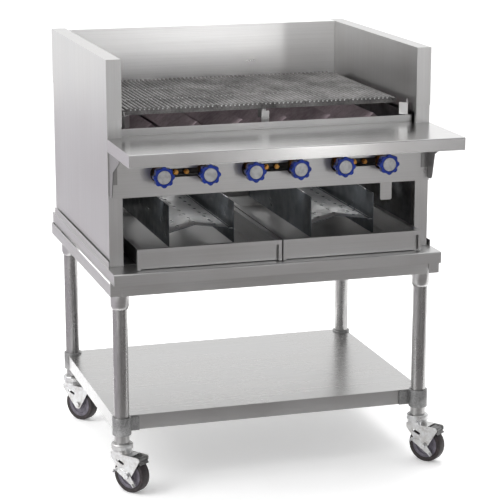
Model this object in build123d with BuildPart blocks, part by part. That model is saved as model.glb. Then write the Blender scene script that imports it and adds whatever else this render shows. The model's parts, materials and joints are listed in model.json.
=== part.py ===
from build123d import *
import math
import os

# A gas charbroiler with six burners, standing on an open equipment stand with casters.
# X runs to the cook's right, Y from the cook towards the wall, Z up. Millimetres.
# The origin is on the floor at the middle of the whole footprint.

# --- Driving dimensions -----------------------------------------------------------------
body_width = 914.4
body_depth = 732.0
body_height = 558.0
base_z = 624.0
mid_x = -14.0
front_y = -254.0
wall = 41.0
rear_wall = 50.0
sheet = 1.5
gap = 0.3

burner_count = 6
burner_pitch = 127.0

# Landing shelf and control panel, heights above the bottom of the body
shelf_top = 349.0
shelf_thick = 34.0
shelf_reach = 249.0
shelf_behind = 22.0
panel_bottom = 187.0
knob_height = 248.5

# Fire side: what lies behind and above the control panel
rail_y = 33.0
rail_rise = 17.0
liner_front = 62.0
liner_rear = 668.0
liner_inset = 50.0
liner_top = 372.0
manifold_y = 32.0
pipe_radius = 13.35
burner_height = 290.0
burner_radius = 16.0
radiant_base = 328.0
radiant_peak = 371.0
radiant_half = 54.0
radiant_thick = 4.0

# Cooking grate
grate_top = 410.0
grate_front = 98.0
grate_rear = 635.0
rod_radius = 4.2
rod_pitch = 12.7
rods_per_section = 10
grate_bar = 8.0
bar_height = 4.0
chassis_bar = 12.0
chassis_height = 7.0
pivot_radius = 3.0
splash_step = 398.0

# Drip pans and baffles
pan_gap = 4.0
pan_width = 402.0
pan_height = 57.0
pan_front = -62.0
pan_rear = 640.0
pan_rim = 13.0
pan_lip = 11.0
pan_back = 34.0
pan_shift = 10.5
baffle_width = 183.0
baffle_low = 38.0
baffle_high = 153.0
baffle_front = 30.0
baffle_rear = 620.0
roof_eaves = 77.0
roof_ridge = 95.0
ridge_offset = -18.0
roof_short = 13.0

# Knobs
knob_face = 60.0
knob_grip = 22.0
knob_radius = 29.0
knob_lobes = 8
cap_radius = 18.5
cap_thick = 3.0
stem_radius = 4.0
stem_play = 0.05
bonnet_radius = 13.0
bonnet_face = 14.0

# Stand
stand_width = 928.0
stand_front = 87.0
stand_rear = 744.0
lip_height = 18.0
upper_band = 32.0
lower_band = 70.0
leg_radius = 20.65
leg_wall = 1.6
leg_inset = 24.0
leg_front_y = -14.0
leg_rear_y = 640.0
socket_radius = 25.4
socket_bottom = 111.0
undershelf_top = 421.0
undershelf_rim = 42.0
undershelf_inset = 6.5
undershelf_front = 3.0
undershelf_rear = 662.0
leg_bottom = 135.0

# Casters
wheel_radius = 50.8
wheel_width = 32.0
trail = 33.0
trail_angle = -52.0
axle_radius = 6.0
fork_sheet = 3.0
fork_inside = 38.0
fork_top = 108.0
race_top = 120.0
race_radius = 30.5
kingpin_radius = 6.25
brake_pin_reach = 59.6
brake_pin_angle = 55.0
brake_pin_radius = 3.0
shoe_radius = 56.5
lever_sheet = 2.5

# --- Places worked out from the dimensions -----------------------------------------------
left_x = mid_x - body_width / 2
right_x = mid_x + body_width / 2
rear_y = front_y + body_depth
burner_xs = [mid_x + (n - (burner_count - 1) / 2) * burner_pitch for n in range(burner_count)]
corners = {
    "fl": (left_x + leg_inset, front_y + leg_front_y),
    "fr": (right_x - leg_inset, front_y + leg_front_y),
    "rl": (left_x + leg_inset, front_y + leg_rear_y),
    "rr": (right_x - leg_inset, front_y + leg_rear_y),
}
sides = {"left": -1, "right": 1}


def inward(side, inset):
    """X of a plane that lies the given inset inside the left (-1) or right (1) outer face."""
    return mid_x + side * (body_width / 2 - inset)


def up(height):
    """Z of a height above the bottom of the body."""
    return base_z + height


def back(depth):
    """Y of a depth behind the front plane of the body."""
    return front_y + depth


def block(xs, ys, zs, mode=Mode.ADD):
    """A block between two values of X, two of Y and two of Z."""
    limits = [sorted(pair) for pair in (xs, ys, zs)]
    with Locations(tuple((low + high) / 2 for low, high in limits)):
        Box(*[high - low for low, high in limits], mode=mode)


def strip(points, thickness):
    """A bent sheet in section: it follows the points, with its thickness on their left."""
    corners_in = [Vector(*point) for point in points]
    runs = [(b - a).normalized() for a, b in zip(corners_in, corners_in[1:])]
    normals = [Vector(-run.Y, run.X) for run in runs]
    offsets = [normals[0] * thickness]
    for before, after in zip(normals, normals[1:]):
        both = before + after
        offsets.append(both * (2 * thickness / both.length**2))
    offsets.append(normals[-1] * thickness)
    far = [corner + offset for corner, offset in zip(corners_in, offsets)]
    outline = corners_in + far[::-1]
    Polygon(*[(point.X, point.Y) for point in outline], align=None)


def write(part, name):
    """Label a finished piece and write it as one STEP file."""
    part.label = name
    export_step(part, f"parts/{name}.step")


os.makedirs("parts", exist_ok=True)

# --- Stand -------------------------------------------------------------------------------
with BuildPart() as stand_top:
    with BuildSketch(Plane.XY.offset(base_z - upper_band)):
        with Locations((mid_x, front_y + (stand_rear - stand_front) / 2)):
            Rectangle(stand_width, stand_rear + stand_front)
    extrude(amount=upper_band)
    fillet(stand_top.edges().filter_by(Axis.X).group_by(Axis.Z)[-1].sort_by(Axis.Y)[0], 4.0)
    offset(amount=-sheet, openings=stand_top.faces().sort_by(Axis.Z)[0])
    for side in sides.values():
        block((inward(side, -4.0), inward(side, -2.5)), (back(-12), back(725)), (up(0), up(lip_height)))
write(stand_top.part, "stand_top")

band_front = stand_front - 26.0
skirt_x = stand_width / 2 + 5.0
skirt_bottom = up(-upper_band - 34.0)
end_plate = 30.0
socket_length = socket_bottom - upper_band - 2 * sheet
with BuildPart() as stand_frame:
    # The front rail leans back towards its lower edge and folds under.
    rail_half = skirt_x - end_plate - gap
    with BuildSketch(Plane.YZ.offset(mid_x - rail_half)):
        strip(
            [
                (back(-band_front), up(-upper_band)),
                (back(-band_front + 12.0), up(-lower_band)),
                (back(-band_front + 20.0), up(-lower_band)),
            ],
            sheet,
        )
    extrude(amount=2 * rail_half)
    # Side rails: an end plate, a long skirt and a rear return, folded from one strip.
    for side in sides.values():
        outer = mid_x + side * skirt_x
        with BuildSketch(Plane.XY.offset(skirt_bottom)):
            strip(
                [
                    (outer - side * end_plate, back(-band_front)),
                    (outer, back(-band_front)),
                    (outer, back(stand_rear - 4.0)),
                    (outer - side * end_plate, back(stand_rear - 4.0)),
                ],
                side * sheet,
            )
        extrude(amount=up(-upper_band) - skirt_bottom)
    # The rear rail is a plain angle.
    with BuildSketch(Plane.YZ.offset(mid_x - rail_half)):
        strip(
            [
                (back(stand_rear - 40.0), up(-lower_band)),
                (back(stand_rear - 10.0), up(-lower_band)),
                (back(stand_rear - 10.0), up(-upper_band)),
            ],
            sheet,
        )
    extrude(amount=2 * rail_half)
    # Sockets for the legs are welded under the top, and their lower lips taper in to the tube.
    with BuildPart(mode=Mode.PRIVATE) as socket:
        Cylinder(socket_radius, socket_length, align=(Align.CENTER, Align.CENTER, Align.MIN))
        chamfer(socket.edges().filter_by(GeomType.CIRCLE).sort_by(Axis.Z)[0], 9.0, 3.5)
        Cylinder(leg_radius, 3 * socket_length, mode=Mode.SUBTRACT)
    with Locations(*[(x, y, up(-socket_bottom)) for x, y in corners.values()]):
        add(socket.part)
write(stand_frame.part, "stand_frame")

leg_top = up(-upper_band - 4.0)
with BuildPart() as legs:
    with BuildSketch(Plane.XY.offset(leg_bottom)):
        with Locations(*corners.values()):
            Circle(leg_radius)
            Circle(leg_radius - leg_wall, mode=Mode.SUBTRACT)
    extrude(amount=leg_top - leg_bottom)
write(legs.part, "legs")

clamp_radius = leg_radius + 5.5
clamp_reach = 52.0
lug_thick = 6.0
with BuildPart() as undershelf:
    with BuildSketch(Plane.XY.offset(up(-undershelf_top - undershelf_rim))):
        with Locations((mid_x, back((undershelf_front + undershelf_rear) / 2))):
            Rectangle(body_width - 2 * undershelf_inset, undershelf_rear - undershelf_front)
    extrude(amount=undershelf_rim)
    offset(amount=-sheet, openings=undershelf.faces().sort_by(Axis.Z)[0])
    # Each corner is notched round the clamp that holds it to the leg.
    notch_heights = (up(-undershelf_top - undershelf_rim - 1.0), up(-undershelf_top + 1.0))
    for name, (x, y) in corners.items():
        outward_x = math.copysign(leg_inset, x - mid_x)
        outward_y = -leg_inset if name[0] == "f" else leg_inset
        with Locations((x, y, up(-undershelf_top))):
            Cylinder(clamp_radius + gap, 3 * undershelf_rim, mode=Mode.SUBTRACT)
        block((x, x + 2 * outward_x), (y, y + 2 * outward_y), notch_heights, mode=Mode.SUBTRACT)
write(undershelf.part, "undershelf")

with BuildPart() as corner_clamps:
    for name, (x, y) in corners.items():
        to_middle_x = math.copysign(1.0, mid_x - x)
        rim_y = back(undershelf_front - lug_thick if name[0] == "f" else undershelf_rear)
        # The lug starts clear of the tube, where the ring already reaches it.
        lug_start = leg_radius + 0.5 if name[0] == "f" else 0.0
        with BuildSketch(Plane.XY.offset(up(-undershelf_top - undershelf_rim - 3.0))):
            with Locations((x, y)):
                Circle(clamp_radius)
                Circle(leg_radius, mode=Mode.SUBTRACT)
        extrude(amount=undershelf_rim + 8.0)
        # A cast lug runs from the ring along the outside of the shelf's rim.
        block(
            (x + to_middle_x * lug_start, x + to_middle_x * clamp_reach),
            (rim_y, rim_y + lug_thick),
            (up(-undershelf_top - undershelf_rim), up(-undershelf_top - 3.0)),
        )
write(corner_clamps.part, "corner_clamps")

# --- Body casing ---------------------------------------------------------------------------
skin = 1.2
return_depth = 15.0
# The supply pipe runs back inside the right wall and out through its rear return.
supply_x = inward(1, 21.0)
for word, side in sides.items():
    with BuildPart() as side_panel:
        with BuildSketch(Plane.XY.offset(up(0))):
            strip(
                [
                    (inward(side, wall - skin), back(return_depth)),
                    (inward(side, wall - skin), back(skin)),
                    (inward(side, skin), back(skin)),
                    (inward(side, skin), back(body_depth - skin)),
                    (inward(side, wall - 2.0), back(body_depth - skin)),
                ],
                side * sheet,
            )
        extrude(amount=splash_step + 12.0)
        if side == 1:
            # The supply pipe leaves through the rear return.
            with BuildSketch(Plane.XZ.offset(-back(body_depth))):
                with Locations((supply_x, up(knob_height))):
                    Circle(pipe_radius + 1.0)
            extrude(amount=4 * sheet, mode=Mode.SUBTRACT)
    write(side_panel.part, f"side_panel_{word}")

    with BuildPart() as splash:
        with BuildSketch(Plane.XZ.offset(-back(skin))):
            strip(
                [
                    (inward(side, 0), up(splash_step)),
                    (inward(side, 0), up(body_height)),
                    (inward(side, wall), up(body_height)),
                    (inward(side, wall), up(splash_step - 20.0)),
                ],
                side * skin,
            )
        extrude(amount=-(body_depth - skin))
        block(
            (inward(side, 0), inward(side, wall)),
            (back(0), back(skin)),
            (up(splash_step), up(body_height)),
        )
    write(splash.part, f"splash_{word}")

inner_left = inward(-1, wall)
inner_right = inward(1, wall)
with BuildPart() as splash_rear:
    with BuildSketch(Plane.YZ.offset(inner_left)):
        strip(
            [
                (back(body_depth - rear_wall), up(splash_step - 20.0)),
                (back(body_depth - rear_wall), up(body_height)),
                (back(body_depth), up(body_height)),
                (back(body_depth), up(splash_step)),
            ],
            -skin,
        )
    extrude(amount=inner_right - inner_left)
write(splash_rear.part, "splash_rear")

vent_rows = 5
vents_per_row = 6
with BuildPart() as back_panel:
    block(
        (inner_left, inner_right),
        (back(body_depth - skin - sheet), back(body_depth - skin)),
        (up(0), up(splash_step)),
    )
    with BuildSketch(Plane.XZ.offset(-back(body_depth))):
        with Locations((mid_x, up(110.0))):
            with GridLocations(120.0, 24.0, vents_per_row, vent_rows):
                SlotOverall(80.0, 8.0)
    extrude(amount=2 * sheet + skin, mode=Mode.SUBTRACT)
write(back_panel.part, "back_panel")

with BuildPart() as compartment_liner:
    # Floor and side walls of the drip-pan space, folded from one sheet.
    with BuildSketch(Plane.XZ.offset(-back(return_depth + 1.0))):
        strip(
            [
                (inner_left, up(panel_bottom + 20.0)),
                (inner_left, up(0)),
                (inner_right, up(0)),
                (inner_right, up(panel_bottom + 20.0)),
            ],
            sheet,
        )
    extrude(amount=-(body_depth - return_depth - 1.0 - skin - sheet))
write(compartment_liner.part, "compartment_liner")

# --- Control panel and landing shelf --------------------------------------------------------
window_radius = 24.0
slot_height = 23.0
with BuildPart() as control_panel:
    with BuildSketch(Plane.XZ.offset(-back(0))):
        with Locations((mid_x, up((panel_bottom + shelf_top - shelf_thick) / 2))):
            Rectangle(body_width, shelf_top - shelf_thick - panel_bottom)
        # Each pair of knobs shares one window: two round holes and a slot between them.
        for left_knob, right_knob in zip(burner_xs[0::2], burner_xs[1::2]):
            with Locations((left_knob, up(knob_height)), (right_knob, up(knob_height))):
                Circle(window_radius, mode=Mode.SUBTRACT)
            with Locations(((left_knob + right_knob) / 2, up(knob_height))):
                Rectangle(burner_pitch, slot_height, mode=Mode.SUBTRACT)
    extrude(amount=sheet)
    block(
        (inner_left + 1.0, inner_right - 1.0),
        (back(-sheet), back(12.0)),
        (up(panel_bottom), up(panel_bottom + sheet)),
    )
write(control_panel.part, "control_panel")

screw_inset = 11.5
screw_height = 213.0
with BuildPart() as panel_screws:
    for side in sides.values():
        screw_plane = Plane.XZ.offset(-back(-sheet))
        with BuildSketch(screw_plane):
            with Locations((inward(side, screw_inset), up(screw_height))):
                Circle(5.0)
        extrude(amount=2.8)
    fillet(panel_screws.edges().filter_by(GeomType.CIRCLE).group_by(Axis.Y)[0], 1.6)
    with BuildSketch(Plane.XZ.offset(-back(-sheet - 2.8))):
        for side in sides.values():
            with Locations((inward(side, screw_inset), up(screw_height))):
                Rectangle(6.0, 1.2)
                Rectangle(1.2, 6.0)
    extrude(amount=-1.4, mode=Mode.SUBTRACT)
write(panel_screws.part, "panel_screws")

with BuildPart() as landing_shelf:
    with BuildSketch(Plane.XY.offset(up(shelf_top - shelf_thick))):
        with Locations((mid_x, back(-shelf_reach / 2))):
            Rectangle(body_width, shelf_reach)
        with Locations((mid_x, back(shelf_behind / 2 - 1.0))):
            Rectangle(body_width - 2 * wall - 2.0, shelf_behind + 2.0)
    extrude(amount=shelf_thick)
    fillet(landing_shelf.edges().filter_by(Axis.X).group_by(Axis.Z)[-1].sort_by(Axis.Y)[0], 3.0)
    offset(amount=-sheet, openings=landing_shelf.faces().sort_by(Axis.Z)[0])
write(landing_shelf.part, "landing_shelf")

bracket_inset = 3.0
bracket_sheet = 2.5
with BuildPart() as shelf_brackets:
    for side in sides.values():
        with BuildSketch(Plane.YZ.offset(inward(side, bracket_inset))):
            with BuildLine():
                Polyline(
                    (back(-sheet), up(shelf_top - shelf_thick)),
                    (back(-120.0), up(shelf_top - shelf_thick)),
                    (back(-120.0), up(shelf_top - shelf_thick - 12.0)),
                    (back(-50.0), up(268.0)),
                    (back(-34.0), up(206.0)),
                )
                RadiusArc((back(-34.0), up(206.0)), (back(-20.0), up(195.0)), -14.0)
                Polyline(
                    (back(-20.0), up(195.0)),
                    (back(-sheet), up(195.0)),
                    (back(-sheet), up(shelf_top - shelf_thick)),
                )
            make_face()
        extrude(amount=-side * bracket_sheet)
        # The flange that bolts to the panel
        block(
            (inward(side, bracket_inset), inward(side, bracket_inset + 22.0)),
            (back(-sheet), back(-sheet - bracket_sheet)),
            (up(225.0), up(shelf_top - shelf_thick)),
        )
write(shelf_brackets.part, "shelf_brackets")

with BuildPart() as front_rail:
    with BuildSketch(Plane.YZ.offset(inner_left + 1.0)):
        strip(
            [
                (back(shelf_behind + 0.5), up(shelf_top - sheet)),
                (back(rail_y), up(shelf_top - sheet)),
                (back(rail_y), up(shelf_top + rail_rise)),
                (back(liner_front - 1.0), up(shelf_top + rail_rise - 8.0)),
            ],
            sheet,
        )
    extrude(amount=inner_right - inner_left - 2.0)
write(front_rail.part, "front_rail")

# --- Firebox ----------------------------------------------------------------------------------
liner_bottom = 196.0
with BuildPart() as firebox_liner:
    with BuildSketch(Plane.XY.offset(up(liner_bottom))):
        with Locations((mid_x, back((liner_front + liner_rear) / 2))):
            Rectangle(body_width - 2 * liner_inset, liner_rear - liner_front)
            inner_size = (body_width - 2 * liner_inset - 2 * sheet, liner_rear - liner_front - 2 * sheet)
            Rectangle(*inner_size, mode=Mode.SUBTRACT)
    extrude(amount=liner_top - liner_bottom)
    # The front wall stops below the top of the front rail, and lets the burner tubes through.
    block(
        (inward(-1, liner_inset + sheet), inward(1, liner_inset + sheet)),
        (back(liner_front - 1.0), back(liner_front + 3.0)),
        (up(shelf_top + rail_rise - 10.0), up(liner_top)),
        mode=Mode.SUBTRACT,
    )
    with BuildSketch(Plane.XZ.offset(-back(liner_front - 1.0))):
        with Locations(*[(x, up(burner_height)) for x in burner_xs]):
            Circle(burner_radius + 1.0)
    extrude(amount=-4.0, mode=Mode.SUBTRACT)
write(firebox_liner.part, "firebox_liner")

gable = 3.0
radiant_rear = liner_rear - 12.0
radiant_front = liner_front + 10.0
with BuildPart() as radiants:
    for x in burner_xs:
        with BuildSketch(Plane.XZ.offset(-back(radiant_front))):
            Polygon(
                (x - radiant_half, up(radiant_base)),
                (x, up(radiant_peak)),
                (x + radiant_half, up(radiant_base)),
                align=None,
            )
        extrude(amount=-(radiant_rear - radiant_front))
    for x in burner_xs:
        drop = radiant_thick * 1.3
        with BuildSketch(Plane.XZ.offset(-back(radiant_front + gable))):
            Polygon(
                (x - radiant_half + 2 * radiant_thick, up(radiant_base - 1.0)),
                (x, up(radiant_peak - drop)),
                (x + radiant_half - 2 * radiant_thick, up(radiant_base - 1.0)),
                align=None,
            )
        extrude(amount=-(radiant_rear - radiant_front - 2 * gable), mode=Mode.SUBTRACT)
write(radiants.part, "radiants")

port_pitch = 18.0
port_count = 26
with BuildPart() as burners:
    with BuildSketch(Plane.XZ.offset(-back(manifold_y + 24.0))):
        with Locations(*[(x, up(burner_height)) for x in burner_xs]):
            Circle(burner_radius)
    extrude(amount=-(liner_rear - 20.0 - manifold_y - 24.0))
    with BuildSketch(Plane.XZ.offset(-back(manifold_y + 24.0))):
        with Locations(*[(x, up(burner_height)) for x in burner_xs]):
            Circle(burner_radius - 3.0)
    extrude(amount=-(liner_rear - 34.0 - manifold_y - 24.0), mode=Mode.SUBTRACT)
    with BuildSketch(Plane.XY.offset(up(burner_height))):
        with Locations(*[(x, back((liner_front + liner_rear) / 2)) for x in burner_xs]):
            with GridLocations(0.0, port_pitch, 1, port_count):
                Circle(1.6)
    extrude(amount=2 * burner_radius, mode=Mode.SUBTRACT)
write(burners.part, "burners")

# --- Gas train ----------------------------------------------------------------------------------
inlet_length = 26.0
thread_radius = 13.0
thread_length = 24.0
elbow = 21.0
with BuildPart() as gas_manifold:
    with BuildLine() as pipe_path:
        FilletPolyline(
            (inner_left + 25.0, back(manifold_y), up(knob_height)),
            (supply_x, back(manifold_y), up(knob_height)),
            (supply_x, back(body_depth + inlet_length), up(knob_height)),
            radius=elbow,
        )
    with BuildSketch(Plane(origin=pipe_path.line @ 0, z_dir=pipe_path.line % 0)):
        Circle(pipe_radius)
    sweep()
    # The end of the supply pipe is threaded, so it is a little thinner there.
    with BuildSketch(Plane.XZ.offset(-back(body_depth + inlet_length))):
        with Locations((supply_x, up(knob_height))):
            Circle(pipe_radius + 1.0)
            Circle(thread_radius, mode=Mode.SUBTRACT)
    extrude(amount=thread_length, mode=Mode.SUBTRACT)
write(gas_manifold.part, "gas_manifold")

valve_front = 1.0
pilot_spread = 15.0
with BuildPart() as gas_valves:
    for x in burner_xs:
        centre = (x, up(knob_height))
        with BuildSketch(Plane.XZ.offset(-back(valve_front))):
            with Locations(centre):
                RectangleRounded(24.0, 30.0, 4.0)
        extrude(amount=-(manifold_y - pipe_radius - valve_front - 0.2))
        with BuildSketch(Plane.XZ.offset(-back(valve_front))):
            with Locations(centre):
                RegularPolygon(bonnet_radius, 6)
        extrude(amount=bonnet_face + valve_front)
        with BuildSketch(Plane.XZ.offset(-back(-bonnet_face))):
            with Locations(centre):
                Circle(stem_radius + stem_play)
        extrude(amount=-(bonnet_face + 10.0), mode=Mode.SUBTRACT)
    # Two pilot valves sit between the knobs of each pair.
    for left_knob, right_knob in zip(burner_xs[0::2], burner_xs[1::2]):
        pair_middle = (left_knob + right_knob) / 2
        for x in (pair_middle - pilot_spread, pair_middle + pilot_spread):
            with BuildSketch(Plane.XZ.offset(-back(manifold_y - pipe_radius - 0.2))):
                with Locations((x, up(knob_height))):
                    RegularPolygon(7.5, 6)
            extrude(amount=12.0)
            with BuildSketch(Plane.XZ.offset(-back(manifold_y - pipe_radius - 12.2))):
                with Locations((x, up(knob_height))):
                    Circle(4.5)
            extrude(amount=7.0)
write(gas_valves.part, "gas_valves")

strap_width = 34.0
strap_x = mid_x + 348.0
with BuildPart() as manifold_strap:
    with BuildSketch(Plane.XZ.offset(-back(manifold_y + pipe_radius + 0.2))):
        with Locations((strap_x, up((128.0 + 300.0) / 2))):
            Rectangle(strap_width, 300.0 - 128.0)
    extrude(amount=-2.0)
    fillet(manifold_strap.edges().filter_by(Axis.Y).group_by(Axis.Z)[0], 5.0)
write(manifold_strap.part, "manifold_strap")

# --- Knobs -----------------------------------------------------------------------------------------
lobe_radius = 7.4
for number, x in enumerate(burner_xs, start=1):
    axis_point = (x, up(knob_height))
    with BuildPart() as knob:
        with BuildSketch(Plane.XZ.offset(-back(-knob_face + knob_grip))) as grip:
            with Locations(axis_point):
                Circle(knob_radius - 4.0)
                with PolarLocations(knob_radius - lobe_radius, knob_lobes):
                    Circle(lobe_radius)
            fillet(grip.vertices(), 2.2)
        extrude(amount=knob_grip)
        fillet(knob.faces().sort_by(Axis.Y)[0].edges(), 1.8)
        # The neck narrows towards the panel.
        with BuildSketch(Plane.XZ.offset(-back(-knob_face + knob_grip))):
            with Locations(axis_point):
                Circle(21.0)
        with BuildSketch(Plane.XZ.offset(-back(-bonnet_face - 2.0))):
            with Locations(axis_point):
                Circle(18.0)
        loft()
        with BuildSketch(Plane.XZ.offset(-back(-knob_face))):
            with Locations(axis_point):
                Circle(cap_radius)
        extrude(amount=-cap_thick, mode=Mode.SUBTRACT)
        with BuildSketch(Plane.XZ.offset(-back(-knob_face))):
            with Locations(axis_point):
                Circle(stem_radius)
        extrude(amount=-knob_face, mode=Mode.SUBTRACT)
    write(knob.part, f"knob_{number}")

    with BuildPart() as knob_cap:
        with BuildSketch(Plane.XZ.offset(-back(-knob_face + cap_thick))):
            with Locations(axis_point):
                Circle(cap_radius)
        extrude(amount=cap_thick - 0.6)
        fillet(knob_cap.faces().sort_by(Axis.Y)[0].edges(), 1.0)
        with BuildSketch(Plane.XZ.offset(-back(-knob_face + cap_thick))):
            with Locations(axis_point):
                Circle(stem_radius)
        extrude(amount=-(knob_face - cap_thick - bonnet_face + 9.0))
    write(knob_cap.part, f"knob_cap_{number}")

# --- Cooking grate ------------------------------------------------------------------------------------
rod_z = up(grate_top - rod_radius)
bar_top = grate_top - rod_radius - 1.0
section_width = rods_per_section * rod_pitch
bar_length = section_width - 2.4
cross_depths = [grate_front + (grate_rear - grate_front) * share for share in (1 / 3, 2 / 3)]
for number, x in enumerate(burner_xs, start=1):
    with BuildPart() as grate_section:
        with BuildSketch(Plane.XZ.offset(-back(grate_front))):
            with Locations((x, rod_z)):
                with GridLocations(rod_pitch, 0.0, rods_per_section, 1):
                    Circle(rod_radius)
        extrude(amount=-(grate_rear - grate_front))
        for depth in (grate_front + grate_bar / 2, *cross_depths, grate_rear - grate_bar / 2):
            block(
                (x - bar_length / 2, x + bar_length / 2),
                (back(depth - grate_bar / 2), back(depth + grate_bar / 2)),
                (up(bar_top - bar_height), up(bar_top)),
            )
    write(grate_section.part, f"grate_section_{number}")

chassis_top = bar_top - bar_height - gap
pivot_z = up(chassis_top - chassis_height / 2)
chassis_half = burner_count * burner_pitch / 2
with BuildPart() as grate_chassis:
    with BuildSketch(Plane.XY.offset(up(chassis_top - chassis_height))):
        with Locations((mid_x, back((grate_front + grate_rear) / 2))):
            Rectangle(2 * (chassis_half + chassis_bar), grate_rear - grate_front)
            Rectangle(
                2 * (chassis_half - 1.0), grate_rear - grate_front - 2 * chassis_bar, mode=Mode.SUBTRACT
            )
    extrude(amount=chassis_height)
    # Side bars stand up beside the outer sections.
    for side in sides.values():
        block(
            (mid_x + side * (chassis_half + 3.0), mid_x + side * (chassis_half + chassis_bar)),
            (back(grate_front), back(grate_rear)),
            (up(chassis_top), up(grate_top - 3.0)),
        )
    # The rear pivot pins stick out into the liner's side brackets.
    with BuildSketch(Plane.YZ.offset(mid_x - chassis_half - 24.0)):
        with Locations((back(grate_rear - chassis_bar), pivot_z)):
            Circle(pivot_radius)
    extrude(amount=14.0)
    with BuildSketch(Plane.YZ.offset(mid_x + chassis_half + 10.0)):
        with Locations((back(grate_rear - chassis_bar), pivot_z)):
            Circle(pivot_radius)
    extrude(amount=14.0)
write(grate_chassis.part, "grate_chassis")

support_top = chassis_top - chassis_height - gap
post_top = 402.0
post_foot = shelf_top + rail_rise + 2 * sheet
strut_width = 22.0
with BuildPart() as grate_supports:
    # The strut under the middle of the front bar
    block(
        (mid_x - strut_width / 2, mid_x + strut_width / 2),
        (back(grate_front - 1.0), back(grate_front + 3.0)),
        (up(radiant_peak + 1.0), up(support_top)),
    )
    block(
        (mid_x - strut_width / 2, mid_x + strut_width / 2),
        (back(liner_front + sheet), back(grate_front - 1.0)),
        (up(radiant_peak + 1.0), up(radiant_peak + 4.0)),
    )
    for side in sides.values():
        # A folded angle at each front corner guides the grate as its front is raised.
        with BuildSketch(Plane.XY.offset(up(post_foot))):
            strip(
                [
                    (inward(side, wall + 1.0), back(rail_y + 12.0)),
                    (inward(side, wall + 14.0), back(rail_y - 4.0)),
                    (inward(side, wall + 32.0), back(rail_y + 16.0)),
                ],
                -side * 2.0,
            )
        extrude(amount=post_top - post_foot)
        # Its pin stands beside the splash guard.
        with Locations((inward(side, wall + 14.0), back(rail_y + 3.0), up(post_foot))):
            Cylinder(2.5, post_top + 10.0 - post_foot, align=(Align.CENTER, Align.CENTER, Align.MIN))
        # The rear bracket holds the chassis by its pivot pin.
        bearing = (back(grate_rear - chassis_bar), pivot_z)
        with BuildSketch(Plane.YZ.offset(mid_x + side * (chassis_half + chassis_bar + 4.0))):
            with Locations(bearing):
                Circle(10.0)
            with Locations((bearing[0], bearing[1] - 16.0)):
                Rectangle(20.0, 32.0)
            with Locations(bearing):
                Circle(pivot_radius + 0.05, mode=Mode.SUBTRACT)
        extrude(amount=side * 4.0)
write(grate_supports.part, "grate_supports")

# --- Drip pans and baffles ----------------------------------------------------------------------------
slots_per_row = 11
slot_pitch = 52.0
hole_rows = (-60.0, -13.0, 46.0)
tab_length = 12.0
strip_width = 9.0
for word, side in sides.items():
    pan_mid = mid_x + pan_shift + side * (pan_width + pan_gap) / 2
    with BuildPart() as drip_pan:
        with BuildSketch(Plane.XY.offset(up(sheet + gap))):
            with Locations((pan_mid, back((pan_front + pan_rim - sheet + pan_rear) / 2))):
                Rectangle(pan_width - 2 * pan_rim, pan_rear - pan_front - pan_rim + sheet)
        extrude(amount=pan_height)
        offset(amount=-sheet, openings=drip_pan.faces().sort_by(Axis.Z)[-1])
        # The rear wall is low, so that the pan slides out under the baffle.
        inner_half = pan_width / 2 - pan_rim - sheet
        block(
            (pan_mid - inner_half, pan_mid + inner_half),
            (back(pan_rear - 2 * sheet), back(pan_rear + sheet)),
            (up(pan_back), up(pan_height + 2 * sheet)),
            mode=Mode.SUBTRACT,
        )
        rim_z = (up(pan_height + gap), up(pan_height + gap + sheet))
        for edge in sides.values():
            block(
                (pan_mid + edge * (pan_width / 2 - pan_rim - sheet), pan_mid + edge * pan_width / 2),
                (back(pan_front), back(pan_rear)),
                rim_z,
            )
        # The front plate stands back under the rim, which ends in a turned-down lip.
        full_width = (pan_mid - pan_width / 2, pan_mid + pan_width / 2)
        heights = (up(sheet + gap), up(pan_height + gap + sheet))
        block(full_width, (back(pan_front), back(pan_front + pan_rim + sheet)), rim_z)
        block(full_width, (back(pan_front + pan_rim - sheet), back(pan_front + pan_rim)), heights)
        block(
            full_width,
            (back(pan_front), back(pan_front + sheet)),
            (up(pan_height - pan_lip), up(pan_height + gap + sheet)),
        )
        # Each end of the front is closed by a folded strip.
        for edge in sides.values():
            end_x = pan_mid + edge * pan_width / 2
            block((end_x - edge * sheet, end_x), (back(pan_front), back(pan_front + pan_rim)), heights)
            block((end_x - edge * strip_width, end_x), (back(pan_front), back(pan_front + sheet)), heights)
    write(drip_pan.part, f"drip_pan_{word}")

    roof_end = pan_mid + baffle_width / 2 - roof_short
    with BuildPart() as baffle:
        for edge in sides.values():
            wall_x = pan_mid + edge * baffle_width / 2
            block(
                (wall_x - sheet / 2, wall_x + sheet / 2),
                (back(baffle_front), back(baffle_rear)),
                (up(baffle_low), up(baffle_high)),
            )
        with BuildSketch(Plane.XZ.offset(-back(baffle_front))):
            strip(
                [
                    (pan_mid - baffle_width / 2, up(roof_eaves)),
                    (pan_mid + ridge_offset, up(roof_ridge)),
                    (roof_end, up(roof_eaves + 3.0)),
                    (roof_end, up(roof_eaves + 9.0)),
                ],
                sheet,
            )
        extrude(amount=-(baffle_rear - baffle_front))
        # Tabs at both ends hold the low edge of the roof to the right-hand wall.
        for depth in (baffle_front, baffle_rear - tab_length):
            block(
                (roof_end - 1.0, pan_mid + baffle_width / 2),
                (back(depth), back(depth + tab_length)),
                (up(roof_eaves), up(roof_eaves + sheet)),
            )
        with BuildSketch(Plane.XY.offset(up(roof_eaves - 10.0))):
            for row in hole_rows:
                with Locations((pan_mid + row, back((baffle_front + baffle_rear) / 2))):
                    with GridLocations(0.0, slot_pitch, 1, slots_per_row):
                        SlotOverall(15.0, 9.0, rotation=90)
        extrude(amount=40.0, mode=Mode.SUBTRACT)
    write(baffle.part, f"baffle_{word}")

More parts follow.
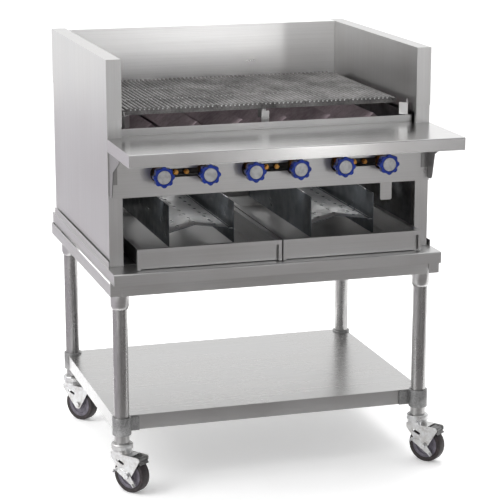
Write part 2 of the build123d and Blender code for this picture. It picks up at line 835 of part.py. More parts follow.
# --- Casters ----------------------------------------------------------------------------------------------
along = Vector(math.cos(math.radians(trail_angle)), math.sin(math.radians(trail_angle)))
across = Vector(0, 0, 1).cross(along)
brake_turn = math.radians(brake_pin_angle)
pin_x = trail + brake_pin_reach * math.cos(brake_turn)
pin_z = wheel_radius + brake_pin_reach * math.sin(brake_turn)
lever_face = fork_inside / 2 + fork_sheet + gap
with BuildPart() as caster_stems:
    for x, y in corners.values():
        with BuildSketch(Plane.XY.offset(race_top + gap)):
            with Locations((x, y)):
                Circle(race_radius)
        extrude(amount=leg_bottom - race_top - gap)
    rims = caster_stems.edges().filter_by(GeomType.CIRCLE)
    fillet(rims.group_by(Axis.Z)[-1], 5.0)
    for x, y in corners.values():
        with BuildSketch(Plane.XY.offset(leg_bottom)):
            with Locations((x, y)):
                Circle(leg_radius - leg_wall)
        extrude(amount=50.0)
        with BuildSketch(Plane.XY.offset(race_top + gap)):
            with Locations((x, y)):
                Circle(kingpin_radius)
        extrude(amount=-(race_top - fork_top + fork_sheet))
write(caster_stems.part, "caster_stems")

half_wheel = wheel_width / 2
for name, (x, y) in corners.items():
    level = Plane(origin=(x, y, 0), x_dir=along, z_dir=(0, 0, 1))
    upright = Plane(origin=(x, y, 0), x_dir=along, z_dir=-across)
    cheek_out = fork_inside / 2 + fork_sheet
    with BuildPart() as fork:
        with BuildSketch(upright):
            with Locations((trail, wheel_radius)):
                Circle(13.0)
            with Locations((pin_x, pin_z)):
                Circle(8.0)
            with Locations((10.0, fork_top - 6.0)):
                Rectangle(66.0, 12.0)
            make_hull()
        extrude(amount=cheek_out, both=True)
        with BuildSketch(upright):
            with Locations((trail, (fork_top - fork_sheet) / 2)):
                Rectangle(6 * trail, fork_top - fork_sheet)
            with Locations((pin_x, fork_top)):
                Rectangle(44.0, 2 * fork_top)
        extrude(amount=fork_inside / 2, both=True, mode=Mode.SUBTRACT)
        # Slots lighten the cheeks.
        with BuildSketch(upright):
            with Locations((10.0, 86.0)):
                SlotOverall(26.0, 8.0, rotation=-20)
        extrude(amount=2 * cheek_out, both=True, mode=Mode.SUBTRACT)
        with BuildSketch(level.offset(fork_top)):
            Circle(race_radius - 3.0)
        extrude(amount=race_top - fork_top)
        with BuildSketch(level.offset(fork_top - 2 * fork_sheet)):
            Circle(kingpin_radius + stem_play)
        extrude(amount=race_top, mode=Mode.SUBTRACT)
        # The axle bolt, with a domed head and a nut
        with BuildSketch(upright):
            with Locations((trail, wheel_radius)):
                Circle(axle_radius)
        extrude(amount=cheek_out, both=True)
        # On the braked casters the bolt is longer, to carry the lock lever under its head.
        head_face = lever_face + lever_sheet + gap if name[0] == "f" else cheek_out
        with BuildSketch(upright):
            with Locations((trail, wheel_radius)):
                Circle(axle_radius)
        extrude(amount=head_face)
        with BuildSketch(upright.offset(head_face)):
            with Locations((trail, wheel_radius)):
                RegularPolygon(9.0, 6)
        extrude(amount=5.0)
        with BuildSketch(upright.offset(-cheek_out)):
            with Locations((trail, wheel_radius)):
                RegularPolygon(10.0, 6)
        extrude(amount=-8.0)
        if name[0] == "f":
            with BuildSketch(upright):
                with Locations((pin_x, pin_z)):
                    Circle(brake_pin_radius)
            extrude(amount=cheek_out, both=True)
    write(fork.part, f"caster_fork_{name}")

    hub = Vector(x, y, wheel_radius) + along * trail
    with BuildPart() as wheel:
        # Half of the section, radius by width, is mirrored and turned about the axle.
        with BuildSketch(Plane(origin=hub, x_dir=(0, 0, 1), z_dir=-along)):
            with BuildLine():
                Polyline(
                    (axle_radius + stem_play, 0),
                    (axle_radius + stem_play, half_wheel + 2.0),
                    (14.0, half_wheel + 2.0),
                    (16.0, half_wheel - 7.0),
                    (34.0, half_wheel - 7.0),
                    (37.0, half_wheel - 1.0),
                    (44.0, half_wheel - 1.0),
                )
                ThreePointArc(
                    (44.0, half_wheel - 1.0), (48.6, half_wheel - 3.4), (wheel_radius - 0.4, half_wheel - 9.0)
                )
                Polyline(
                    (wheel_radius - 0.4, half_wheel - 9.0), (wheel_radius, 0), (axle_radius + stem_play, 0)
                )
            make_face()
            mirror(about=Plane.XZ)
        revolve(axis=Axis(hub, across))
    write(wheel.part, f"caster_wheel_{name}")

for name in ("fl", "fr"):
    x, y = corners[name]
    upright = Plane(origin=(x, y, 0), x_dir=along, z_dir=-across)
    with BuildPart() as brake_shoe:
        with BuildSketch(upright):
            # The shoe bridges the tread in an even curve about the axle.
            strip(
                [
                    (
                        trail + shoe_radius * math.cos(math.radians(turn)),
                        wheel_radius + shoe_radius * math.sin(math.radians(turn)),
                    )
                    for turn in (72.0, 61.0, 50.0, 39.0)
                ],
                lever_sheet,
            )
            with Locations((pin_x, pin_z)):
                Circle(6.0)
                Circle(brake_pin_radius + 0.06, mode=Mode.SUBTRACT)
        extrude(amount=fork_inside / 2 - 1.0, both=True)
    write(brake_shoe.part, f"brake_shoe_{name}")

    toe = (trail - 34.0, wheel_radius + 13.0)
    heel = (trail + 25.0, wheel_radius - 22.0)
    with BuildPart() as brake_lever:
        for end in (toe, heel):
            with BuildSketch(upright.offset(lever_face)):
                with Locations((trail, wheel_radius)):
                    Circle(11.0)
                with Locations(end):
                    Circle(5.0)
                make_hull()
            extrude(amount=lever_sheet)
        # Foot tabs stand out at both ends.
        with BuildSketch(upright.offset(lever_face)):
            with Locations(toe):
                Rectangle(lever_sheet, 10.0, rotation=-20)
        extrude(amount=18.0)
        with BuildSketch(upright.offset(lever_face)):
            with Locations(heel):
                Rectangle(lever_sheet, 10.0, rotation=45)
        extrude(amount=9.0)
        with BuildSketch(upright.offset(lever_face)):
            with Locations((trail, wheel_radius)):
                Circle(axle_radius + stem_play)
        extrude(amount=lever_sheet, mode=Mode.SUBTRACT)
    write(brake_lever.part, f"brake_lever_{name}")
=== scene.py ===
"""A gas charbroiler on an open stand with casters: finishes, wheels, light and camera.

Everything is in metres, in the frame of the CAD model: X to the cook's right, Y from the cook
towards the wall, Z up, with the origin on the floor.
"""

import json
import math

import bmesh
import bpy
from mathutils import Matrix, Vector


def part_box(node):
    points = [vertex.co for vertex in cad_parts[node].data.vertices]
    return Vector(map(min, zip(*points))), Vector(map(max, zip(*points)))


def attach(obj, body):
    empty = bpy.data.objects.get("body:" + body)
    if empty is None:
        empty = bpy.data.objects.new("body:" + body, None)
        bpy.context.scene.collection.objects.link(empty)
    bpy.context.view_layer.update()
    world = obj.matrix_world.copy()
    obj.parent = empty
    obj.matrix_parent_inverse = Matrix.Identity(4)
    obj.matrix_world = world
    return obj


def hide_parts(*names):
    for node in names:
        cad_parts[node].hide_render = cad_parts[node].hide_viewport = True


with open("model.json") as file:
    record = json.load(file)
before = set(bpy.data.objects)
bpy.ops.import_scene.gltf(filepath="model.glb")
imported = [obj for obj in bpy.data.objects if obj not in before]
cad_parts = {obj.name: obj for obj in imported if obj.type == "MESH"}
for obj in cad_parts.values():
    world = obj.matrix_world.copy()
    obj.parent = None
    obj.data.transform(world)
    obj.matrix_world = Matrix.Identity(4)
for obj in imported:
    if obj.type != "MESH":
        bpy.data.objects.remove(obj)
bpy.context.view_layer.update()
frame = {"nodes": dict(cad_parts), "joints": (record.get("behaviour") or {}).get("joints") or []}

nodes = frame["nodes"]
joints = {joint["name"]: joint for joint in frame["joints"]}
corners = ("fl", "fr", "rl", "rr")
burners = range(1, 7)
scene = bpy.context.scene


# --- Materials -------------------------------------------------------------------------------
class Finish:
    """A material whose nodes are added one by one, on the frame's own coordinates."""

    def __init__(self, name, **sockets):
        self.material = bpy.data.materials.new(name)
        self.material.use_nodes = True
        self.tree = self.material.node_tree
        self.shader = self.tree.nodes["Principled BSDF"]
        self.where = self.node("TexCoord").outputs["Object"]
        self.normal = None
        for word, value in sockets.items():
            self.shader.inputs[word.replace("_", " ")].default_value = value

    def node(self, kind):
        return self.tree.nodes.new("ShaderNode" + kind)

    def link(self, start, end):
        self.tree.links.new(start, end)

    def placed(self, stretch, shift=(0.0, 0.0, 0.0)):
        """The coordinates after a shift, stretched along each axis."""
        moved = self.node("VectorMath")
        moved.operation = "SUBTRACT"
        moved.inputs[1].default_value = shift
        self.link(self.where, moved.inputs[0])
        scaled = self.node("VectorMath")
        scaled.operation = "MULTIPLY"
        scaled.inputs[1].default_value = stretch
        self.link(moved.outputs[0], scaled.inputs[0])
        return scaled.outputs[0]

    def noise(self, scale, stretch=(1.0, 1.0, 1.0), detail=3.0):
        texture = self.node("TexNoise")
        texture.inputs["Scale"].default_value = scale
        texture.inputs["Detail"].default_value = detail
        self.link(self.placed(stretch), texture.inputs["Vector"])
        return texture.outputs["Fac"]

    def cells(self, scale):
        """Flat patches with one random value each."""
        texture = self.node("TexVoronoi")
        texture.inputs["Scale"].default_value = scale
        self.link(self.placed((1.0, 1.0, 1.0)), texture.inputs["Vector"])
        return texture.outputs["Color"]

    def rings(self, centre, per_metre, axis):
        """Fine rings round an axis through a point."""
        texture = self.node("TexWave")
        texture.wave_type = "RINGS"
        texture.rings_direction = axis
        texture.inputs["Scale"].default_value = per_metre
        texture.inputs["Distortion"].default_value = 0.4
        self.link(self.placed((1.0, 1.0, 1.0), centre), texture.inputs["Vector"])
        return texture.outputs["Fac"]

    def spread(self, value, low, high, start=0.3, end=0.7):
        """The value, with start to end laid out over low to high."""
        laid_out = self.node("MapRange")
        ends = {"From Min": start, "From Max": end, "To Min": low, "To Max": high}
        for word, number in ends.items():
            laid_out.inputs[word].default_value = number
        self.link(value, laid_out.inputs["Value"])
        return laid_out.outputs["Result"]

    def ramp(self, value, *stops):
        """A colour for the value, from stops of (place, colour)."""
        ramp = self.node("ValToRGB")
        elements = ramp.color_ramp.elements
        while len(elements) < len(stops):
            elements.new(0.5)
        for element, (place, colour) in zip(elements, stops):
            element.position = place
            element.color = (*colour, 1.0)
        self.link(value, ramp.inputs["Fac"])
        return ramp.outputs["Color"]

    def blend(self, first, second, kind="MULTIPLY", amount=1.0):
        """One colour laid over another."""
        mix = self.node("Mix")
        mix.data_type = "RGBA"
        mix.blend_type = kind
        if isinstance(amount, float):
            mix.inputs[0].default_value = amount
        else:
            self.link(amount, mix.inputs[0])
        self.link(first, mix.inputs[6])
        self.link(second, mix.inputs[7])
        return mix.outputs[2]

    def colour(self, value):
        self.link(value, self.shader.inputs["Base Color"])

    def roughness(self, value):
        self.link(value, self.shader.inputs["Roughness"])

    def bump(self, value, height, strength=1.0):
        """Relief on top of any relief so far. The height is in metres."""
        bump = self.node("Bump")
        bump.inputs["Strength"].default_value = strength
        bump.inputs["Distance"].default_value = height
        self.link(value, bump.inputs["Height"])
        if self.normal:
            self.link(self.normal, bump.inputs["Normal"])
        self.normal = bump.outputs["Normal"]
        self.link(self.normal, self.shader.inputs["Normal"])


def grey(value, warmth=0.0):
    """A grey, with a little more red and less blue as warmth grows."""
    return (value * (1 + warmth), value, value * (1 - warmth))


# Cycles per metre of the brush strokes along X, Y and Z: many across the strokes, few along them.
# Level strokes run round upright sheets, deep ones lie on flat sheets and run from side to side.
along, across = 3.0, 650.0
grains = {
    "level": (along, along, across),
    "deep": (along, across, along),
    "upright": (across, across, along),
}


def brushed_steel(name, grain, shade, polish, metallic=1.0):
    """Sheet steel with a brushed grain, faint smudges and a little sheet waviness."""
    steel = Finish(name, Metallic=metallic)
    fine = steel.noise(1.0, grains[grain], 2.0)
    broad = steel.noise(0.12, grains[grain], 2.0)
    smudge = steel.noise(5.0, detail=4.0)
    base = steel.ramp(
        fine, (0.25, grey(shade * 0.95, 0.004)), (0.75, grey(shade * 1.05, 0.004))
    )
    stain = steel.ramp(smudge, (0.30, grey(0.95, 0.008)), (0.62, grey(1.0)))
    steel.colour(steel.blend(base, stain))
    polished = steel.spread(broad, polish * 0.95, polish * 1.08)
    steel.roughness(steel.blend(polished, steel.spread(smudge, 0.93, 1.1)))
    steel.bump(steel.noise(2.0, detail=0.0), 0.0006, 0.3)
    steel.bump(fine, 0.000004, 0.3)
    return steel.material


def liner_steel_painted_shade():
    """The steel inside the fire box and compartment: dark greys with a faint blue cast painted on
    as shade, with darker blotches.
    """
    steel = Finish("liner_steel_painted_shade", Metallic=1.0)
    # Painted shade: the liner is kept far darker than the casing steel to stand in for the shade
    # inside.
    painted_shade_tone = steel.ramp(
        steel.noise(7.0, (1.0, 1.0, 1.8), 5.0),
        (0.25, (0.075, 0.085, 0.095)),
        (0.45, (0.16, 0.16, 0.165)),
        (0.60, (0.26, 0.265, 0.27)),
        (0.80, (0.18, 0.20, 0.225)),
    )
    dark_blotches = steel.ramp(steel.noise(26.0, detail=6.0), (0.38, grey(0.55, 0.05)), (0.58, grey(1.0)))
    steel.colour(steel.blend(painted_shade_tone, dark_blotches))
    steel.roughness(steel.spread(steel.noise(14.0, detail=5.0), 0.30, 0.58))
    steel.bump(steel.noise(3.0, detail=1.0), 0.0012, 0.4)
    steel.bump(steel.noise(420.0, detail=2.0), 0.00004, 0.6)
    return steel.material


def baffle_steel():
    """Baffles: sloping roofs painted light as the light that falls on them from above, and upright
    faces painted dark as shade, both blotchy.
    """
    steel = Finish("baffle_steel", Metallic=0.85)
    normal = steel.node("SeparateXYZ")
    steel.link(steel.node("NewGeometry").outputs["Normal"], normal.inputs[0])
    levelness = steel.node("Math")
    levelness.operation = "ABSOLUTE"
    steel.link(normal.outputs["Z"], levelness.inputs[0])
    # Painted light and shade: faces that point up or down take the light colour, upright faces
    # take the dark one.
    roof_painted_light = steel.spread(levelness.outputs[0], 0, 1, 0.5, 0.8)
    blotches = steel.noise(9.0, detail=5.0)
    wall_painted_shade = steel.ramp(blotches, (0.30, (0.085, 0.095, 0.105)), (0.70, (0.17, 0.185, 0.20)))
    bright = steel.ramp(blotches, (0.25, grey(0.62)), (0.55, grey(0.86)))
    steel.colour(steel.blend(wall_painted_shade, bright, "MIX", roof_painted_light))
    steel.roughness(steel.spread(steel.noise(30.0, detail=4.0), 0.26, 0.5))
    steel.bump(steel.noise(1.0, (500.0, 4.0, 500.0), 2.0), 0.00003, 0.5)
    return steel.material


def tube_steel():
    """Drawn tube: long draw lines, a soft polish and a few scuffs."""
    tube = Finish("tube_steel", Metallic=1.0)
    lines = tube.noise(1.0, (900.0, 900.0, 5.0), 2.0)
    scuff = tube.noise(34.0, (1.0, 1.0, 0.35), 6.0)
    base = tube.ramp(lines, (0.3, grey(0.42, 0.01)), (0.7, grey(0.50, 0.01)))
    worn = tube.ramp(scuff, (0.34, grey(0.84)), (0.5, grey(1.0)))
    tube.colour(tube.blend(base, worn))
    tube.roughness(tube.spread(scuff, 0.36, 0.22))
    tube.bump(lines, 0.00003, 0.5)
    return tube.material


def cast_metal(name, dark, light, low, high, metallic, pits=0.0002):
    """Cast metal: a mottled skin with pits, and colour that varies from patch to patch."""
    casting = Finish(name, Metallic=metallic)
    patch = casting.ramp(casting.noise(9.0, detail=5.0), (0.30, dark), (0.70, light))
    speck = casting.ramp(casting.noise(240.0, detail=3.0), (0.35, grey(0.72)), (0.6, grey(1.0)))
    casting.colour(casting.blend(patch, speck))
    casting.roughness(casting.spread(casting.noise(60.0, detail=4.0), low, high))
    casting.bump(casting.noise(330.0, detail=4.0), pits, 0.8)
    casting.bump(casting.noise(45.0, detail=2.0), pits * 2, 0.4)
    return casting.material


def seasoned_iron():
    """Grate bars: dark oiled iron, rubbed brighter and browner where food and scraper pass."""
    iron = Finish("seasoned_iron", Metallic=0.75)
    skin = iron.ramp(
        iron.noise(16.0, (1.0, 0.5, 1.0), 6.0),
        (0.25, (0.075, 0.073, 0.072)),
        (0.50, (0.185, 0.180, 0.178)),
        (0.75, (0.300, 0.294, 0.290)),
    )
    scale = iron.ramp(iron.noise(180.0, detail=4.0), (0.36, grey(0.78)), (0.58, grey(1.05)))
    iron.colour(iron.blend(skin, scale))
    iron.roughness(iron.spread(iron.noise(38.0, detail=5.0), 0.30, 0.62))
    iron.bump(iron.noise(260.0, detail=4.0), 0.0001, 0.6)
    return iron.material


def black_pipe():
    """Lacquered black iron pipe, with dust and thin wear lines."""
    pipe = Finish("black_pipe", Metallic=0.3, Coat_Weight=0.25, Coat_Roughness=0.3)
    lacquer = pipe.ramp(
        pipe.noise(20.0, detail=5.0), (0.35, (0.012, 0.012, 0.013)), (0.75, (0.06, 0.055, 0.05))
    )
    pipe.colour(lacquer)
    pipe.roughness(pipe.spread(pipe.noise(70.0, detail=4.0), 0.34, 0.6))
    pipe.bump(pipe.noise(300.0, detail=3.0), 0.0001, 0.7)
    return pipe.material


def warm_brass():
    """Machined brass fittings, browned by heat."""
    brass = Finish("warm_brass", Metallic=1.0)
    patina = brass.ramp(
        brass.noise(30.0, detail=5.0),
        (0.30, (0.32, 0.13, 0.035)),
        (0.55, (0.62, 0.31, 0.08)),
        (0.75, (0.80, 0.50, 0.18)),
    )
    brass.colour(patina)
    brass.roughness(brass.spread(brass.noise(90.0, detail=3.0), 0.24, 0.48))
    brass.bump(brass.noise(1.0, (200.0, 1400.0, 200.0), 2.0), 0.00003, 0.6)
    return brass.material


def blue_plastic():
    """Glossy moulded plastic, with a fine mould texture and faint handling marks."""
    plastic = Finish(
        "blue_plastic", Coat_Weight=0.15, Coat_Roughness=0.06, Specular_IOR_Level=0.35
    )
    depth = plastic.ramp(
        plastic.noise(40.0, detail=3.0), (0.30, (0.0, 0.015, 0.17)), (0.75, (0.0, 0.026, 0.27))
    )
    plastic.colour(depth)
    plastic.roughness(plastic.spread(plastic.noise(120.0, detail=5.0), 0.18, 0.36))
    plastic.bump(plastic.noise(900.0, detail=2.0), 0.00002, 0.5)
    plastic.bump(plastic.noise(60.0, detail=1.0), 0.0001, 0.2)
    return plastic.material


def spun_cap(number):
    """The turned face of a knob's cap: fine rings round its own centre."""
    low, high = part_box(f"knob_cap_{number}")
    cap = Finish(f"spun_cap_{number}", Metallic=1.0)
    turned = cap.rings((low + high) / 2, 260.0, "Y")
    dust = cap.noise(90.0, detail=5.0)
    base = cap.ramp(turned, (0.0, grey(0.50, -0.01)), (1.0, grey(0.66, -0.01)))
    cap.colour(cap.blend(base, cap.ramp(dust, (0.35, grey(0.82)), (0.55, grey(1.0)))))
    cap.roughness(cap.spread(dust, 0.44, 0.30))
    cap.bump(turned, 0.00004, 0.6)
    return cap.material


def zinc_plate(name="zinc_plate", shade=0.62):
    """Bright zinc plating: crystal patches, white bloom and handling scratches."""
    zinc = Finish(name, Metallic=1.0)
    crystal = zinc.ramp(
        zinc.cells(150.0), (0.2, grey(shade * 0.92, 0.01)), (0.8, grey(shade * 1.08, -0.01))
    )
    bloom = zinc.ramp(zinc.noise(28.0, detail=6.0), (0.32, grey(0.82, 0.02)), (0.52, grey(1.0)))
    zinc.colour(zinc.blend(crystal, bloom))
    zinc.roughness(zinc.spread(zinc.noise(55.0, detail=5.0), 0.24, 0.46))
    zinc.bump(zinc.cells(150.0), 0.00002, 0.3)
    zinc.bump(zinc.noise(500.0, detail=2.0), 0.00005, 0.5)
    return zinc.material


def tread_polymer():
    """The maroon-brown tyre of a caster: moulded, slightly dusty, scuffed on its tread."""
    tyre = Finish("tread_polymer", IOR=1.5)
    base = tyre.ramp(
        tyre.noise(60.0, detail=5.0), (0.30, (0.006, 0.004, 0.0045)), (0.70, (0.018, 0.011, 0.012))
    )
    dust = tyre.ramp(tyre.noise(220.0, detail=4.0), (0.40, grey(1.0)), (0.68, grey(1.9, 0.03)))
    tyre.colour(tyre.blend(base, dust))
    tyre.roughness(tyre.spread(tyre.noise(150.0, detail=4.0), 0.38, 0.62))
    tyre.bump(tyre.noise(700.0, detail=3.0), 0.00008, 0.7)
    return tyre.material


def hub_polymer():
    """The purple-grey core of a caster wheel, with turned rings on its face."""
    core = Finish("hub_polymer", IOR=1.48)
    turned = core.rings((0.0, 0.0, 0.0), 150.0, "X")
    base = core.ramp(
        core.noise(70.0, detail=5.0), (0.30, (0.085, 0.075, 0.095)), (0.70, (0.165, 0.15, 0.185))
    )
    core.colour(core.blend(base, core.ramp(turned, (0.0, grey(0.78)), (0.7, grey(1.0)))))
    core.roughness(core.spread(core.noise(130.0, detail=4.0), 0.34, 0.55))
    core.bump(turned, 0.0001, 0.5)
    core.bump(core.noise(650.0, detail=2.0), 0.00004, 0.5)
    return core.material


def paint(material, *names):
    """Give CAD parts one material."""
    for name in names:
        nodes[name].data.materials.clear()
        nodes[name].data.materials.append(material)


sides = ("left", "right")
level_steel = brushed_steel("brushed_steel_level", "level", 0.60, 0.33)
upright_steel = brushed_steel("brushed_steel_upright", "upright", 0.62, 0.31)
shelf_steel = brushed_steel("brushed_steel_shelf", "deep", 0.67, 0.20)
# Painted shade: the undershelf is the casing steel, made darker to stand in for the shade under
# the body.
undershelf_steel_painted_shade = brushed_steel("brushed_steel_lower_painted_shade", "deep", 0.50, 0.27)
# Painted light: the rear splash is the casing steel, made much lighter and less metallic to stand
# in for the light it catches.
splash_steel_painted_light = brushed_steel("brushed_steel_guard_painted_light", "level", 0.94, 0.30, 0.78)
# Painted shade: the brackets are the casing steel, made darker to stand in for the shade they hang
# in.
bracket_steel_painted_shade = brushed_steel("brushed_steel_bracket_painted_shade", "upright", 0.34, 0.36)
strut_steel = brushed_steel("brushed_steel_strut", "upright", 0.40, 0.30)
iron = seasoned_iron()
zinc = zinc_plate()

paint(level_steel, "control_panel", "front_rail", "back_panel")
paint(level_steel, "stand_frame", "stand_top", "panel_screws", "manifold_strap")
paint(level_steel, *(f"drip_pan_{side}" for side in sides))
paint(upright_steel, *(f"{part}_{side}" for part in ("side_panel", "splash") for side in sides))
paint(shelf_steel, "landing_shelf")
paint(undershelf_steel_painted_shade, "undershelf")
paint(splash_steel_painted_light, "splash_rear")
paint(bracket_steel_painted_shade, "shelf_brackets")
paint(strut_steel, "grate_supports")
paint(liner_steel_painted_shade(), "firebox_liner", "compartment_liner")
paint(baffle_steel(), "baffle_left", "baffle_right")
paint(tube_steel(), "legs")
paint(cast_metal("cast_aluminium", grey(0.26), grey(0.38), 0.36, 0.56, 0.9), "corner_clamps")
paint(
    cast_metal("cast_iron", (0.110, 0.082, 0.092), (0.240, 0.190, 0.205), 0.5, 0.78, 0.15),
    "radiants",
    "burners",
)
paint(iron, "grate_chassis", *(f"grate_section_{n}" for n in burners))
paint(black_pipe(), "gas_manifold")
paint(warm_brass(), "gas_valves")
paint(blue_plastic(), *(f"knob_{n}" for n in burners))
for n in burners:
    paint(spun_cap(n), f"knob_cap_{n}")
paint(zinc, "caster_stems", *(f"caster_fork_{corner}" for corner in corners))
paint(zinc, "brake_lever_fl", "brake_lever_fr")
paint(zinc_plate("zinc_plate_dark", 0.20), "brake_shoe_fl", "brake_shoe_fr")


# --- Softened edges on the CAD parts ---------------------------------------------------------
def round_edges(piece, width, degrees):
    """Round the edges that turn by more than some degrees, so that they catch the light."""
    bevel = piece.modifiers.new("soft_edges", "BEVEL")
    bevel.width = width
    bevel.segments = 2
    bevel.limit_method = "ANGLE"
    bevel.angle_limit = math.radians(degrees)
    bevel.use_clamp_overlap = True
    bevel.harden_normals = True


def soften(name, width):
    """Join the facets of a CAD part and round its sharp edges a little."""
    weld = nodes[name].modifiers.new("weld", "WELD")
    weld.merge_threshold = 1e-5
    round_edges(nodes[name], width, 38)


folded = ["control_panel", "landing_shelf", "front_rail", "stand_top", "stand_frame", "undershelf"]
folded += [f"{part}_{side}" for part in ("side_panel", "splash", "drip_pan") for side in sides]
for name in folded + ["splash_rear", "shelf_brackets"]:
    soften(name, 0.0006)
for name in ["corner_clamps"] + [f"caster_fork_{corner}" for corner in corners]:
    soften(name, 0.0010)
for name in ("brake_lever_fl", "brake_lever_fr", "brake_shoe_fl", "brake_shoe_fr"):
    soften(name, 0.0007)
for n in burners:
    soften(f"knob_{n}", 0.0016)
    soften(f"knob_cap_{n}", 0.0006)


# --- Pieces made here ----------------------------------------------------------------------------
def piece_from(shape, name, material, smooth=True):
    """A named object made of a bmesh, which is used up."""
    for face in shape.faces:
        face.smooth = smooth
    mesh = bpy.data.meshes.new(name)
    shape.to_mesh(mesh)
    shape.free()
    mesh.materials.append(material)
    piece = bpy.data.objects.new(name, mesh)
    scene.collection.objects.link(piece)
    return piece


# --- Caster wheels -----------------------------------------------------------------------------
def lathed(name, profile, material, turns=96):
    """A closed ring turned about local X from (radius, distance along the axle) in millimetres."""
    shape = bmesh.new()
    loop = [shape.verts.new((along / 1000, 0.0, radius / 1000)) for radius, along in profile]
    edges = [shape.edges.new((a, b)) for a, b in zip(loop, loop[1:] + loop[:1])]
    bmesh.ops.spin(
        shape,
        geom=loop + edges,
        cent=(0.0, 0.0, 0.0),
        axis=(1.0, 0.0, 0.0),
        angle=2 * math.pi,
        steps=turns,
        use_merge=True,
    )
    bmesh.ops.remove_doubles(shape, verts=shape.verts, dist=1e-6)
    bmesh.ops.recalc_face_normals(shape, faces=shape.faces)
    piece = piece_from(shape, name, material)
    round_edges(piece, 0.0008, 30)
    return piece


def mirrored(half):
    """A section given on one side of the wheel's middle, with its other half added."""
    return half + [(radius, -along) for radius, along in reversed(half)]


tyre_section = mirrored([(38.2, 13.2), (39.4, 14.8), (46.6, 15.6), (49.6, 14.2), (50.8, 10.5)])
core_section = mirrored(
    [
        (6.6, 16.6),
        (11.5, 16.6),
        (12.0, 13.8),
        (17.0, 13.4),
        (18.2, 10.2),
        (27.5, 9.4),
        (29.0, 12.8),
        (32.0, 13.6),
        (34.8, 13.0),
        (35.6, 14.4),
        (38.1, 14.4),
        (38.1, 12.6),
    ]
)
tyre_material = tread_polymer()
core_material = hub_polymer()
for corner in corners:
    roll = joints[f"wheel_{corner}_roll"]
    turn = Vector((1.0, 0.0, 0.0)).rotation_difference(Vector(roll["axis"]).normalized())
    stance = Matrix.Translation(roll["pos_m"]) @ turn.to_matrix().to_4x4()
    core = lathed(f"caster_core_{corner}", core_section, core_material)
    tyre = lathed(f"caster_tyre_{corner}", tyre_section, tyre_material)
    for piece in (core, tyre):
        piece.matrix_world = stance
        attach(piece, f"wheel_{corner}")
    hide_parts(f"caster_wheel_{corner}")


# --- Welds and strut of the grate ----------------------------------------------------------------
rod_radius = 0.0042
rods_per_section = 10
rod_pitch = 0.0127
end_bar_inset = 0.004
bead_radii = (0.0034, 0.0030, 0.0030)


def grate_welds(number, metal):
    """Beads between the rods of one section, where they cross its four bars."""
    low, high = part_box(f"grate_section_{number}")
    middle_x = (low.x + high.x) / 2
    third = (high.y - low.y) / 3
    z = high.z - 1.25 * rod_radius
    shape = bmesh.new()
    for y in (low.y + end_bar_inset, low.y + third, high.y - third, high.y - end_bar_inset):
        for gap in range(rods_per_section - 1):
            x = middle_x + (gap + 1 - rods_per_section / 2) * rod_pitch
            bead = bmesh.ops.create_uvsphere(shape, u_segments=10, v_segments=6, radius=1.0)
            bmesh.ops.scale(shape, vec=bead_radii, verts=bead["verts"])
            bmesh.ops.translate(shape, vec=(x, y, z), verts=bead["verts"])
    beads = piece_from(shape, f"grate_welds_{number}", metal)
    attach(beads, f"grate_{number}")


def plate(name, low, high, material):
    """A flat sheet part of the casing between two corners, with its edges just broken."""
    shape = bmesh.new()
    bmesh.ops.create_cube(shape, size=1.0)
    bmesh.ops.scale(shape, vec=Vector(high) - Vector(low), verts=shape.verts)
    bmesh.ops.translate(shape, vec=(Vector(high) + Vector(low)) / 2, verts=shape.verts)
    bmesh.ops.bevel(shape, geom=shape.edges, offset=0.0004, segments=2, affect="EDGES")
    sheet = piece_from(shape, name, material, smooth=False)
    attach(sheet, "stand_and_casing")


# The upright face of the middle strut, from behind the front rail up to the grate's front
rail_low, rail_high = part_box("front_rail")
strut_x = (rail_low.x + rail_high.x) / 2
strut_half_width = 0.011
strut_front = rail_high.y + 0.004
plate(
    "strut_face",
    (strut_x - strut_half_width, strut_front, rail_high.z - 0.018),
    (strut_x + strut_half_width, strut_front + 0.0025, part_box("grate_chassis")[0].z - 0.0005),
    strut_steel,
)
# Closing plates inside the rear ends of the side splash guards, clear of the skin all round
clear = 0.0013
end_plate = 0.0012
for side in sides:
    low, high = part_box(f"splash_{side}")
    outer_y = high.y - 0.0014
    plate(
        f"splash_end_{side}",
        (low.x + clear, outer_y - end_plate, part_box("back_panel")[1].z + clear),
        (high.x - clear, outer_y, high.z - clear),
        level_steel,
    )

weld_metal = cast_metal("weld_metal", grey(0.55), grey(0.80), 0.28, 0.45, 1.0, 0.0001)
for n in burners:
    grate_welds(n, weld_metal)


# --- Floor, light and camera --------------------------------------------------------------------
def level_sheet(name, corner, width, depth, material):
    """One level face of the stage, given by its front left corner."""
    x, y, z = corner
    mesh = bpy.data.meshes.new(name)
    rim = [(x, y, z), (x + width, y, z), (x + width, y + depth, z), (x, y + depth, z)]
    mesh.from_pydata(rim, [], [(0, 1, 2, 3)])
    mesh.materials.append(material)
    sheet = bpy.data.objects.new(name, mesh)
    scene.collection.objects.link(sheet)
    return sheet


def pale_vinyl():
    """The floor: near white, matt, and a little brighter than the light alone would make it."""
    vinyl = Finish("pale_floor", Roughness=0.7, Specular_IOR_Level=0.1, Emission_Strength=0.24)
    vinyl.shader.inputs["Emission Color"].default_value = (1.0, 1.0, 1.0, 1.0)
    vinyl.colour(vinyl.ramp(vinyl.noise(3.0), (0.3, grey(0.94)), (0.7, grey(0.96))))
    return vinyl.material


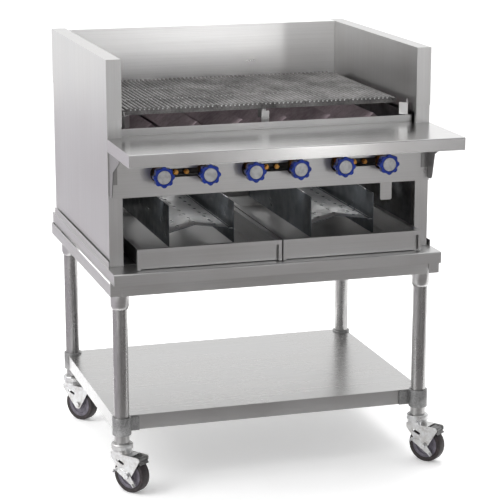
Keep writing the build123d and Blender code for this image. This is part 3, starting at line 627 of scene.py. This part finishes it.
def card(name, corner, width, depth, brightness):
    """A glowing card just over the floor, seen only in the object's reflections."""
    paper = Finish(name, Specular_IOR_Level=0.0, Emission_Strength=1.0)
    paper.shader.inputs["Base Color"].default_value = (0.0, 0.0, 0.0, 1.0)
    paper.shader.inputs["Emission Color"].default_value = (*brightness, 1.0)
    board = level_sheet(name, corner, width, depth, paper.material)
    board.visible_camera = False
    board.visible_diffuse = False
    board.visible_shadow = False
    board.visible_transmission = False


def soft_light(name, place, target, width, height, watts):
    """A rectangular light that faces its target."""
    light = bpy.data.lights.new(name, "AREA")
    light.shape = "RECTANGLE"
    light.size = width
    light.size_y = height
    light.energy = watts
    lamp = bpy.data.objects.new(name, light)
    scene.collection.objects.link(lamp)
    lamp.location = place
    lamp.rotation_euler = (Vector(target) - Vector(place)).to_track_quat("-Z", "Y").to_euler()
    return lamp


def studio_world(dark, bright, bright_side):
    """A surround that runs from dark to bright towards its bright side."""
    world = bpy.data.worlds.new("studio")
    scene.world = world
    world.use_nodes = True
    tree = world.node_tree
    facing = tree.nodes.new("ShaderNodeVectorMath")
    facing.operation = "DOT_PRODUCT"
    facing.inputs[1].default_value = bright_side.normalized()
    where = tree.nodes.new("ShaderNodeTexCoord").outputs["Generated"]
    tree.links.new(where, facing.inputs[0])
    share = tree.nodes.new("ShaderNodeMapRange")
    share.inputs["From Min"].default_value = -1.0
    tree.links.new(facing.outputs["Value"], share.inputs["Value"])
    shade = tree.nodes.new("ShaderNodeValToRGB")
    stops = ((0.10, dark), (0.60, bright))
    for element, (place, colour) in zip(shade.color_ramp.elements, stops):
        element.position = place
        element.color = (*colour, 1.0)
    tree.links.new(share.outputs["Result"], shade.inputs["Fac"])
    tree.links.new(shade.outputs["Color"], tree.nodes["Background"].inputs["Color"])


body_left, body_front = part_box("splash_left")[0].xy
body_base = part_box("side_panel_left")[0].z


def from_corner(x, y, z):
    """A place measured from the lower front left corner of the casing."""
    return (body_left + x, body_front + y, body_base + z)


floor_reach = 40.0
level_sheet(
    "floor", (-floor_reach, -floor_reach, 0.0), 2 * floor_reach, 2 * floor_reach, pale_vinyl()
)
studio_world((0.24, 0.24, 0.245), grey(1.12), Vector((-0.45, 0.85, 0.25)))
card("front_card", (-1.8, -7.5, 0.004), 9.0, 6.9, (0.235, 0.225, 0.225))
card("side_card", (-7.0, -1.5, 0.004), 6.2, 8.0, (0.62, 0.59, 0.63))

middle = from_corner(0.45, 0.35, 0.2)
soft_light("key", (-3.2, -0.4, 3.0), middle, 2.2, 2.2, 60.0)
top_lamp = soft_light("top", (0.2, 0.6, 3.4), middle, 2.4, 2.4, 80.0)
top_lamp.visible_glossy = False  # its mirror image would wash out the flat sheets from above
soft_light("strip", (1.5, -4.8, 1.25), middle, 0.18, 2.3, 10.0)
# A small lamp under the control panel, which lights the inside of the pan bay
bay_lamp = soft_light(
    "bay_lamp", from_corner(0.46, 0.10, 0.175), from_corner(0.46, 0.45, 0.0), 0.75, 0.06, 1.1
)
bay_lamp.visible_camera = False

camera_data = bpy.data.cameras.new("camera")
camera_data.lens = 135.6
camera_data.sensor_width = 36.0
camera_data.clip_end = 200.0
camera = bpy.data.objects.new("camera", camera_data)
scene.collection.objects.link(camera)
camera.location = from_corner(-1.0634, -4.7895, 1.2115)
camera.rotation_euler = (math.radians(76.63), 0.0, math.radians(-16.92))
scene.camera = camera
scene.view_settings.view_transform = "Standard"
